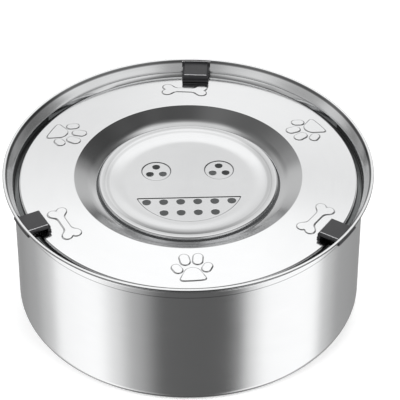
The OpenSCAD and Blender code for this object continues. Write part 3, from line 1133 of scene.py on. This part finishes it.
def turned_streaks_group():
    """Fine lines that run round the axis, as polishing on a spindle leaves them."""
    group, start, end = new_group(
        "turned_streaks",
        [("Lines per metre", "NodeSocketFloat", 2500.0), ("Length", "NodeSocketFloat", 6.0),
         ("Seed", "NodeSocketFloat", 0.0)],
        [("Streak", "NodeSocketFloat"), ("Broad", "NodeSocketFloat")])
    lines = start.outputs["Lines per metre"]
    x, y, z = object_place(group)
    radius = length_of(group, x, y)
    safe = maths(group, "MAXIMUM", radius, LEAST_R)
    shifted = maths(group, "ADD", radius, start.outputs["Seed"])
    join = group.nodes.new("ShaderNodeCombineXYZ")
    group.links.new(maths(group, "MULTIPLY", shifted, lines), join.inputs[0])
    for side, target in ((x, join.inputs[1]), (y, join.inputs[2])):
        along = maths(group, "MULTIPLY", maths(group, "DIVIDE", side, safe), start.outputs["Length"])
        group.links.new(along, target)
    for label, share, detail in (("Streak", 1.0, 3.0), ("Broad", BROAD_SHARE, 2.0)):
        scale = group.nodes.new("ShaderNodeVectorMath")
        scale.operation = "MULTIPLY"
        scale.inputs[1].default_value = (share, 1.0, 1.0)
        group.links.new(join.outputs[0], scale.inputs[0])
        noise = noise_over(group, scale.outputs[0], 1.0, detail)
        noise.noise_dimensions = "4D"
        up = maths(group, "MULTIPLY", z, maths(group, "MULTIPLY", lines, share))
        group.links.new(up, noise.inputs["W"])
        group.links.new(noise.outputs["Fac"], end.inputs[label])
    return group


# Smudges show where the noise passes a level, and grow to full over a third of its range
MARKS_FROM = 0.45
MARKS_GAIN = 3.0


def handling_group():
    """Faint smudges and dried drops, as a mask from 0 to 1."""
    group, start, end = new_group(
        "handling_marks",
        [("Scale", "NodeSocketFloat", 30.0)],
        [("Mask", "NodeSocketFloat")])
    place = group.nodes.new("ShaderNodeTexCoord")
    noise = noise_over(group, place.outputs["Object"], start.outputs["Scale"], 5.0)
    noise.inputs["Roughness"].default_value = 0.6
    above = maths(group, "SUBTRACT", noise.outputs["Fac"], MARKS_FROM)
    group.links.new(maths(group, "MULTIPLY", above, MARKS_GAIN, True), end.inputs["Mask"])
    return group


def crease_shade_group():
    """A mask round the axis for painted shade lines: 1 on a circle of a radius and height, 0 at a
    width from it.
    """
    group, start, end = new_group(
        "crease_shade",
        [("Radius", "NodeSocketFloat", 0.1), ("Height", "NodeSocketFloat", 0.1),
         ("Width", "NodeSocketFloat", 0.001), ("Amount", "NodeSocketFloat", 1.0)],
        [("Mask", "NodeSocketFloat")])
    x, y, z = object_place(group)
    across = maths(group, "SUBTRACT", length_of(group, x, y), start.outputs["Radius"])
    up = maths(group, "SUBTRACT", z, start.outputs["Height"])
    reach = maths(group, "DIVIDE", length_of(group, across, up), start.outputs["Width"])
    near = maths(group, "SUBTRACT", 1.0, reach, True)
    soft = maths(group, "MULTIPLY", maths(group, "SQRT", near), start.outputs["Amount"])
    group.links.new(soft, end.inputs["Mask"])
    return group


def use_group(tree, group, **values):
    node = tree.nodes.new("ShaderNodeGroup")
    node.node_tree = group
    for label, value in values.items():
        node.inputs[label].default_value = value
    return node


# Height of a finish's ripple, and the colour of the glows that stand for light between pieces
RIPPLE_H = 0.1
COOL_LIGHT = (0.97, 1.0, 1.0, 1)


def tinted(tree, shader, tone, colour):
    """Paints a colour, lightened and darkened by a tone."""
    tint = tree.nodes.new("ShaderNodeVectorMath")
    tint.operation = "SCALE"
    tint.inputs[0].default_value = colour
    tree.links.new(tone, tint.inputs["Scale"])
    tree.links.new(tint.outputs[0], shader.inputs["Base Color"])


def rippled(tree, shader, height, strength):
    ripple = tree.nodes.new("ShaderNodeBump")
    ripple.inputs["Strength"].default_value = strength
    ripple.inputs["Distance"].default_value = RIPPLE_H * MM
    tree.links.new(height, ripple.inputs["Height"])
    tree.links.new(ripple.outputs["Normal"], shader.inputs["Normal"])


def darkened(tree, tone, mask):
    return maths(tree, "MULTIPLY", tone, maths(tree, "SUBTRACT", 1.0, mask))


def between_heights(tree, start, stop):
    """A mask that goes from 0 at one height to 1 at another, in millimetres."""
    return mapped_between(tree, object_place(tree)[2], start * MM, stop * MM)


# Steel: how much its streaks and marks change its tone and roughness
STREAK_TONES = (0.975, 1.015)
BROAD_TONES = (-0.02, 0.02)
STREAK_ROUGH = 0.03
STEEL_MARKS_ROUGH = 0.035
STEEL_MARKS_SCALE = 22.0
STEEL_RIPPLE = 0.02
# Inside the bowl a faint glow stands for the light between mirrors that a render's few bounces
# leave out, and a shade for what the narrow channel round the ring keeps out
INSIDE_GLOW = 0.043
GLOW_FROM_Z = LEDGE_Z + 1.0
GLOW_FULL_Z = LEDGE_Z - 14.0
CHANNEL_SHADE = 0.88
SHADE_TOP_Z = FLARE_Z + 0.3
SHADE_TOP_FULL_Z = FLARE_Z - 0.7
SHADE_LOW_Z = LEDGE_Z - 12.0
SHADE_LOW_FULL_Z = LEDGE_Z - 5.0


def inside_light(tree, shader, tone):
    """Sets the inside's glow and returns its tone with the channel shaded."""
    glow = tree.nodes.new("ShaderNodeVectorMath")
    glow.operation = "SCALE"
    glow.inputs[0].default_value = COOL_LIGHT[:3]
    tree.links.new(between_heights(tree, GLOW_FROM_Z, GLOW_FULL_Z), glow.inputs["Scale"])
    tree.links.new(glow.outputs[0], shader.inputs["Emission Color"])
    shader.inputs["Emission Strength"].default_value = INSIDE_GLOW
    under = between_heights(tree, SHADE_TOP_Z, SHADE_TOP_FULL_Z)
    above = between_heights(tree, SHADE_LOW_Z, SHADE_LOW_FULL_Z)
    shade = maths(tree, "MULTIPLY", maths(tree, "MULTIPLY", under, above), CHANNEL_SHADE)
    return darkened(tree, tone, shade)


def brushed_steel(name, groups, colour, rough, seed, shade_lines=(), inside=False):
    """Steel polished on a spindle, with lines of painted shade. shade_lines holds (radius, height,
    width, amount) rows.
    """
    material, tree, shader = new_material(name)
    streaks = use_group(tree, groups["streaks"], Seed=seed)
    marks = use_group(tree, groups["marks"], Scale=STEEL_MARKS_SCALE)
    shader.inputs["Metallic"].default_value = 1.0
    shader.inputs["Anisotropic"].default_value = 0.4
    tangent = tree.nodes.new("ShaderNodeTangent")
    tangent.direction_type = "RADIAL"
    tangent.axis = "Z"
    tree.links.new(tangent.outputs["Tangent"], shader.inputs["Tangent"])
    tone = maths(tree, "ADD", mapped(tree, streaks.outputs["Streak"], *STREAK_TONES),
                 mapped(tree, streaks.outputs["Broad"], *BROAD_TONES))
    # Each line darkens the steel's colour: painted shade
    for radius, height, width, amount in shade_lines:
        crease_shade = use_group(tree, groups["crease_shade"], Radius=radius * MM, Height=height * MM,
                           Width=width * MM, Amount=amount)
        tone = darkened(tree, tone, crease_shade.outputs["Mask"])
    if inside:
        tone = inside_light(tree, shader, tone)
    tinted(tree, shader, tone, colour)
    fine = mapped(tree, streaks.outputs["Streak"], rough - STREAK_ROUGH, rough + STREAK_ROUGH)
    dull = mapped(tree, marks.outputs["Mask"], 0.0, STEEL_MARKS_ROUGH)
    tree.links.new(maths(tree, "ADD", fine, dull), shader.inputs["Roughness"])
    rippled(tree, shader, streaks.outputs["Streak"], STEEL_RIPPLE)
    return material


def moulded_grain_group():
    """A fine moulded grain: its height and a mask of its hollows."""
    group, start, end = new_group(
        "moulded_grain",
        [("Scale", "NodeSocketFloat", 1500.0)],
        [("Height", "NodeSocketFloat"), ("Hollows", "NodeSocketFloat")])
    place = group.nodes.new("ShaderNodeTexCoord")
    height = noise_over(group, place.outputs["Object"], start.outputs["Scale"], 3.0).outputs["Fac"]
    group.links.new(height, end.inputs["Height"])
    group.links.new(maths(group, "SUBTRACT", 1.0, height, True), end.inputs["Hollows"])
    return group


# Plastic: how much its grain and marks change its tone and roughness
GRAIN_TONES = (1.08, 0.86)
GRAIN_ROUGH = 0.05
PLASTIC_MARKS_TONE = 0.12
PLASTIC_MARKS_ROUGH = 0.05
PLASTIC_MARKS_SCALE = 60.0
PLASTIC_RIPPLE = 0.15


def moulded_plastic(name, groups, colour, rough, grain, gloss, glow=0.0):
    """A plastic with a fine grain. glow stands for light that reaches it under the plate."""
    material, tree, shader = new_material(name)
    shader.inputs["Specular IOR Level"].default_value = gloss
    shader.inputs["Emission Color"].default_value = COOL_LIGHT
    shader.inputs["Emission Strength"].default_value = glow
    grains = use_group(tree, groups["grain"], Scale=grain)
    marks = use_group(tree, groups["marks"], Scale=PLASTIC_MARKS_SCALE)
    tone = maths(tree, "ADD", mapped(tree, grains.outputs["Hollows"], *GRAIN_TONES),
                 mapped(tree, marks.outputs["Mask"], 0.0, PLASTIC_MARKS_TONE))
    tinted(tree, shader, tone, colour)
    fine = mapped(tree, grains.outputs["Height"], rough - GRAIN_ROUGH, rough + GRAIN_ROUGH)
    dull = mapped(tree, marks.outputs["Mask"], 0.0, PLASTIC_MARKS_ROUGH)
    tree.links.new(maths(tree, "ADD", fine, dull), shader.inputs["Roughness"])
    rippled(tree, shader, grains.outputs["Height"], PLASTIC_RIPPLE)
    return material


# Colours, where each steel's streaks start, and the lines of painted shade round the axis, as
# (radius, height, width, amount)
STEEL = (0.80, 0.805, 0.81)
PLATE_STEEL = (0.74, 0.745, 0.75)
# A darker steel on the plate's recess flanks: painted shade
RECESS_SHADE_STEEL = (0.36, 0.365, 0.37)
LATCH_BLACK = (0.021, 0.021, 0.023)
# A pale grey on the latches' edges towards the front: a painted highlight
EDGE_HIGHLIGHT_GREY = (0.42, 0.42, 0.43)
FLOAT_GREY = (0.10, 0.10, 0.105)
BOWL_SEED = 0.011
RING_SEED = 0.037
PLATE_SEED = 0.052
UNDER_RIM_SHADE = (BEAD_MID_R - 1.1, RIM_Z - 0.9, 1.5, 1.0)
OUTER_RIM_SHADE = (BEAD_MID_R + 1.0, RIM_Z - 0.4, 0.95, 1.0)
STEP_SHADE = (COLLAR_R, LEDGE_Z, 0.9, 0.6)
PLATE_EDGE_SHADE = (DISH_R + 0.3, PLATE_Z, 1.5, 0.13)
DISH_SHADE_R = DISH_R - 2.7
DISH_SHADE = (DISH_SHADE_R, DISH_Z + dish_rise(DISH_SHADE_R), 1.3, 0.15)


def make_materials():
    groups = {
        "streaks": turned_streaks_group(),
        "marks": handling_group(),
        "grain": moulded_grain_group(),
        "crease_shade": crease_shade_group(),
    }
    # Painted shade lines under and outside the rim's bead, at the outer step, and on the plate's
    # edge and dish
    outside_shade_lines = [UNDER_RIM_SHADE, OUTER_RIM_SHADE, STEP_SHADE]
    plate_shade_lines = [PLATE_EDGE_SHADE, DISH_SHADE]
    return {
        "bowl": brushed_steel("bowl_steel", groups, STEEL, 0.17, BOWL_SEED, outside_shade_lines),
        "inside": brushed_steel("bowl_inside_steel", groups, STEEL, 0.17, BOWL_SEED,
                                [UNDER_RIM_SHADE], inside=True),
        "ring": brushed_steel("ring_steel", groups, STEEL, 0.13, RING_SEED),
        "plate": brushed_steel("plate_steel", groups, PLATE_STEEL, 0.12, PLATE_SEED, plate_shade_lines),
        # The plate's recess flanks: painted shade
        "crease_shade": brushed_steel("plate_recess_shade_steel", groups, RECESS_SHADE_STEEL, 0.2, PLATE_SEED),
        "latch": moulded_plastic("latch_black", groups, LATCH_BLACK, 0.36, 1600.0, 0.62),
        # The latches' front edges: a painted highlight
        "edge": moulded_plastic("latch_edge_highlight", groups, EDGE_HIGHLIGHT_GREY, 0.4, 1600.0, 0.8),
        "float": moulded_plastic("float_grey", groups, FLOAT_GREY, 0.5, 1200.0, 0.5, glow=0.05),
    }


def dress_float(plastic):
    """The float's mouldings stay as the frame has them, with a moulded finish."""
    for node in ("float_tub", "float_lid"):
        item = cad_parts[node]
        item.data.materials.clear()
        item.data.materials.append(plastic)


# The studio

def ramp(tree, value, stops):
    """A ramp of (place, brightness) stops over a 0 to 1 value."""
    node = tree.nodes.new("ShaderNodeValToRGB")
    node.color_ramp.interpolation = "EASE"
    elements = node.color_ramp.elements
    while len(elements) < len(stops):
        elements.new(0.5)
    for element, (place, value_there) in zip(elements, stops):
        element.position = place
        element.color = (value_there, value_there, value_there, 1)
    tree.links.new(value, node.inputs["Fac"])
    return node.outputs["Color"]


# Brightness that the steel mirrors, by how far a direction points to the right (-1 to 1) and
# by its angle in degrees from the back horizon, up over the top to the front horizon
ARC_FROM = -60.0
ARC_TO = 180.0
ARCS = (
    (-0.88, ((-10, 0.45), (7, 0.40), (24, 0.22), (38, 0.45), (52, 0.66), (86, 0.74), (108, 0.42),
             (125, 0.45), (160, 0.5))),
    (-0.55, ((-14, 0.46), (0, 0.50), (12, 0.60), (30, 0.60), (42, 0.30), (58, 0.16), (90, 0.11),
             (112, 0.45), (124, 0.50), (131, 0.88), (160, 0.5))),
    (-0.36, ((-20, 0.44), (-6, 0.34), (8, 0.52), (22, 0.64), (36, 0.62), (46, 0.55), (60, 0.22),
             (86, 0.13), (112, 0.22), (126, 0.60), (133, 0.75), (160, 0.4))),
    (-0.19, ((-32, 0.75), (-20, 0.55), (-8, 0.34), (4, 0.25), (14, 0.50), (24, 0.85), (34, 0.93),
             (40, 1.05), (46, 1.24), (66, 1.18), (75, 0.85), (79, 0.55), (86, 0.20), (96, 0.15),
             (120, 0.18), (134, 0.45), (150, 0.4))),
    (0.0, ((-36, 0.70), (-26, 0.48), (-16, 0.52), (-8, 0.24), (0, 0.42), (7, 0.17), (12, 0.26),
           (20, 0.68), (27, 1.10), (32, 1.08), (38.7, 0.86), (46, 1.25), (70, 1.22), (75, 1.00),
           (79, 0.68), (84, 0.30), (88, 0.15), (93, 0.09), (104, 0.09), (122, 0.14), (130, 0.22),
           (140, 0.42), (156, 0.36), (170, 0.5))),
    (0.19, ((-22, 0.62), (-12, 0.50), (-3, 0.24), (6, 0.26), (16, 0.62), (24, 0.95), (34, 0.98),
            (40, 0.95), (46, 1.20), (62, 1.18), (72, 0.95), (78, 0.62), (85, 0.16), (94, 0.08),
            (120, 0.16), (133, 0.40), (150, 0.4))),
    (0.36, ((-10, 0.52), (0, 0.38), (14, 0.58), (26, 0.62), (35, 0.48), (43, 0.17), (56, 0.09),
            (84, 0.07), (100, 0.12), (118, 0.45), (130, 0.92), (160, 0.5))),
    (0.55, ((-4, 0.50), (10, 0.46), (27, 0.46), (36, 0.24), (43, 0.08), (64, 0.06), (84, 0.10),
            (100, 0.35), (114, 0.85), (128, 0.92), (160, 0.5))),
    (0.88, ((-4, 0.40), (13, 0.24), (32, 0.15), (60, 0.18), (84, 0.28), (96, 0.50), (110, 0.90),
            (130, 0.8), (160, 0.5))),
)
# Brightness round the horizon below it, by degrees from the front, left below zero
AROUND = ((-180, 0.45), (-150, 0.33), (-125, 0.42), (-105, 0.66), (-92, 1.16), (-60, 1.24),
          (-48, 0.90), (-34, 0.48), (-14, 0.13), (28, 0.12), (36, 0.24), (45, 0.86),
          (56, 1.22), (96, 1.24), (106, 0.66), (125, 0.40), (160, 0.34), (180, 0.42))
# By the height that a direction points to, from 1 straight up to -1 straight down: where the
# arcs give way to the horizon, lower at the back, and the horizon to the dark below
HORIZON_FROM = 0.02
HORIZON_FULL = -0.10
BACK_DROP = 0.44
BACK_DROP_FROM_Y = -0.1
BACK_DROP_FULL_Y = 0.4
BELOW_FROM = -0.90
BELOW_FULL = -0.985
BELOW_TONE = 0.10


def make_world():
    world = bpy.data.worlds.new("studio")
    bpy.context.scene.world = world
    world.use_nodes = True
    tree = world.node_tree
    tree.nodes.clear()
    out = tree.nodes.new("ShaderNodeOutputWorld")
    light = tree.nodes.new("ShaderNodeBackground")
    tree.links.new(light.outputs[0], out.inputs["Surface"])
    place = tree.nodes.new("ShaderNodeTexCoord")
    split = tree.nodes.new("ShaderNodeSeparateXYZ")
    tree.links.new(place.outputs["Generated"], split.inputs[0])
    x, y, z = split.outputs
    angle = maths(tree, "MULTIPLY", maths(tree, "ARCTAN2", z, y), 180 / math.pi)
    arc = maths(tree, "DIVIDE", maths(tree, "SUBTRACT", angle, ARC_FROM), ARC_TO - ARC_FROM)
    upper = None
    before = None
    for across, stops in ARCS:
        tones = ramp(tree, arc, [((a - ARC_FROM) / (ARC_TO - ARC_FROM), b) for a, b in stops])
        if upper is not None:
            tones = mixed(tree, mapped_between(tree, x, before, across), upper, tones)
        upper, before = tones, across
    azimuth = maths(tree, "ARCTAN2", x, maths(tree, "MULTIPLY", y, -1.0))
    around = maths(tree, "ADD", maths(tree, "DIVIDE", azimuth, 2 * math.pi), 0.5)
    lower = ramp(tree, around, [((a + 180) / 360, b) for a, b in AROUND])
    below = mapped_between(tree, z, BELOW_FROM, BELOW_FULL)
    lower = mixed(tree, below, lower, None, BELOW_TONE)
    back = mapped_between(tree, y, BACK_DROP_FROM_Y, BACK_DROP_FULL_Y)
    lifted = maths(tree, "ADD", z, maths(tree, "MULTIPLY", back, BACK_DROP))
    under = mapped_between(tree, lifted, HORIZON_FROM, HORIZON_FULL)
    tree.links.new(mixed(tree, under, upper, lower), light.inputs["Color"])
    light.inputs["Strength"].default_value = 1.0


# The studio's sizes are in metres
FLOOR_HALF = 4.0
FLOOR_DROP = 0.0002
PAPER = (0.93, 0.93, 0.93, 1)
PAPER_GLOW = 0.3
LAMP_SIZE = 1.6
LAMPS = (
    ("left_box", (-1.5, -1.5, 2.2), 40.0),
    ("right_box", (1.6, -1.2, 2.2), 30.0),
    ("back_box", (0.2, 1.7, 2.2), 24.0),
)


def make_floor():
    mesh = bpy.data.meshes.new("studio_floor")
    corners = [(x * FLOOR_HALF, y * FLOOR_HALF, 0) for x, y in ((-1, -1), (1, -1), (1, 1), (-1, 1))]
    mesh.from_pydata(corners, [], [(0, 1, 2, 3)])
    material, tree, shader = new_material("studio_paper")
    shader.inputs["Base Color"].default_value = PAPER
    shader.inputs["Roughness"].default_value = 0.9
    shader.inputs["Specular IOR Level"].default_value = 0.0
    rays = tree.nodes.new("ShaderNodeLightPath")
    seen = maths(tree, "MAXIMUM", rays.outputs["Is Camera Ray"],
                 maths(tree, "MAXIMUM", rays.outputs["Is Glossy Ray"],
                       rays.outputs["Is Transmission Ray"]))
    shader.inputs["Emission Color"].default_value = (1, 1, 1, 1)
    tree.links.new(maths(tree, "MULTIPLY", seen, PAPER_GLOW), shader.inputs["Emission Strength"])
    mesh.materials.append(material)
    floor = bpy.data.objects.new("studio_floor", mesh)
    floor.location = (0, 0, -FLOOR_DROP)
    floor.visible_glossy = False
    bpy.context.scene.collection.objects.link(floor)


def make_lamp(name, place, watts):
    """A soft box that lights dull surfaces only. The steel mirrors the world."""
    data = bpy.data.lights.new(name, "AREA")
    data.shape = "DISK"
    data.size = LAMP_SIZE
    data.energy = watts
    lamp = bpy.data.objects.new(name, data)
    lamp.location = place
    lamp.rotation_euler = (-Vector(place)).to_track_quat("-Z", "Y").to_euler()
    lamp.visible_glossy = False
    bpy.context.scene.collection.objects.link(lamp)


# The camera: its distance from the rim's middle, its angle over the level and the part's turn
# under it, its focal length and the middle of the rim in pixels of the square photograph

CAMERA_D = 1800.0
CAMERA_EL = math.radians(38.7)
CAMERA_TURN = math.radians(2.8)
PIXELS = 400
FOCAL_PIXELS = 1.427 * CAMERA_D
RIM_AT = (188.2, 168.6)
AIM_ROUNDS = 20
AIM_STEP = 0.9


def make_camera():
    """Stands where the photograph was taken, with the rim's centre at its pixel."""
    right_by = (RIM_AT[0] - PIXELS / 2) / FOCAL_PIXELS
    down_by = (RIM_AT[1] - PIXELS / 2) / FOCAL_PIXELS
    place = CAMERA_D * np.array([0.0, -math.cos(CAMERA_EL), math.sin(CAMERA_EL)])
    yaw, pitch = 0.0, CAMERA_EL
    for _ in range(AIM_ROUNDS):
        ahead = np.array([math.sin(yaw) * math.cos(pitch), math.cos(yaw) * math.cos(pitch),
                          -math.sin(pitch)])
        right = np.array([math.cos(yaw), -math.sin(yaw), 0.0])
        up = np.cross(right, ahead)
        depth = -place @ ahead
        yaw += AIM_STEP * (-place @ right / depth - right_by)
        pitch += AIM_STEP * (place @ up / depth - down_by)
    data = bpy.data.cameras.new("camera")
    data.sensor_width = 36.0
    data.lens = FOCAL_PIXELS * data.sensor_width / PIXELS
    data.clip_start = 0.1
    data.clip_end = 30.0
    camera = bpy.data.objects.new("camera", data)
    turn = Matrix(np.column_stack([right, up, -ahead]).tolist()).to_4x4()
    turn.translation = Vector(place.tolist()) * MM
    camera.matrix_world = (Matrix.Translation((0, 0, RIM_Z * MM))
                           @ Matrix.Rotation(CAMERA_TURN, 4, "Z") @ turn)
    bpy.context.scene.collection.objects.link(camera)
    bpy.context.scene.camera = camera


finishes = make_materials()
make_bowl(finishes["bowl"], finishes["inside"])
make_ring(finishes["ring"])
make_plate(finishes["plate"], finishes["crease_shade"])
for side_name, side_angle in LATCHES.items():
    make_tongue(side_name, side_angle, finishes["latch"], finishes["edge"])
    make_grip(side_name, side_angle, finishes["latch"])
dress_float(finishes["float"])
make_world()
make_floor()
for lamp_name, lamp_place, lamp_watts in LAMPS:
    make_lamp(lamp_name, lamp_place, lamp_watts)
make_camera()
bpy.context.scene.view_settings.view_transform = "Standard"
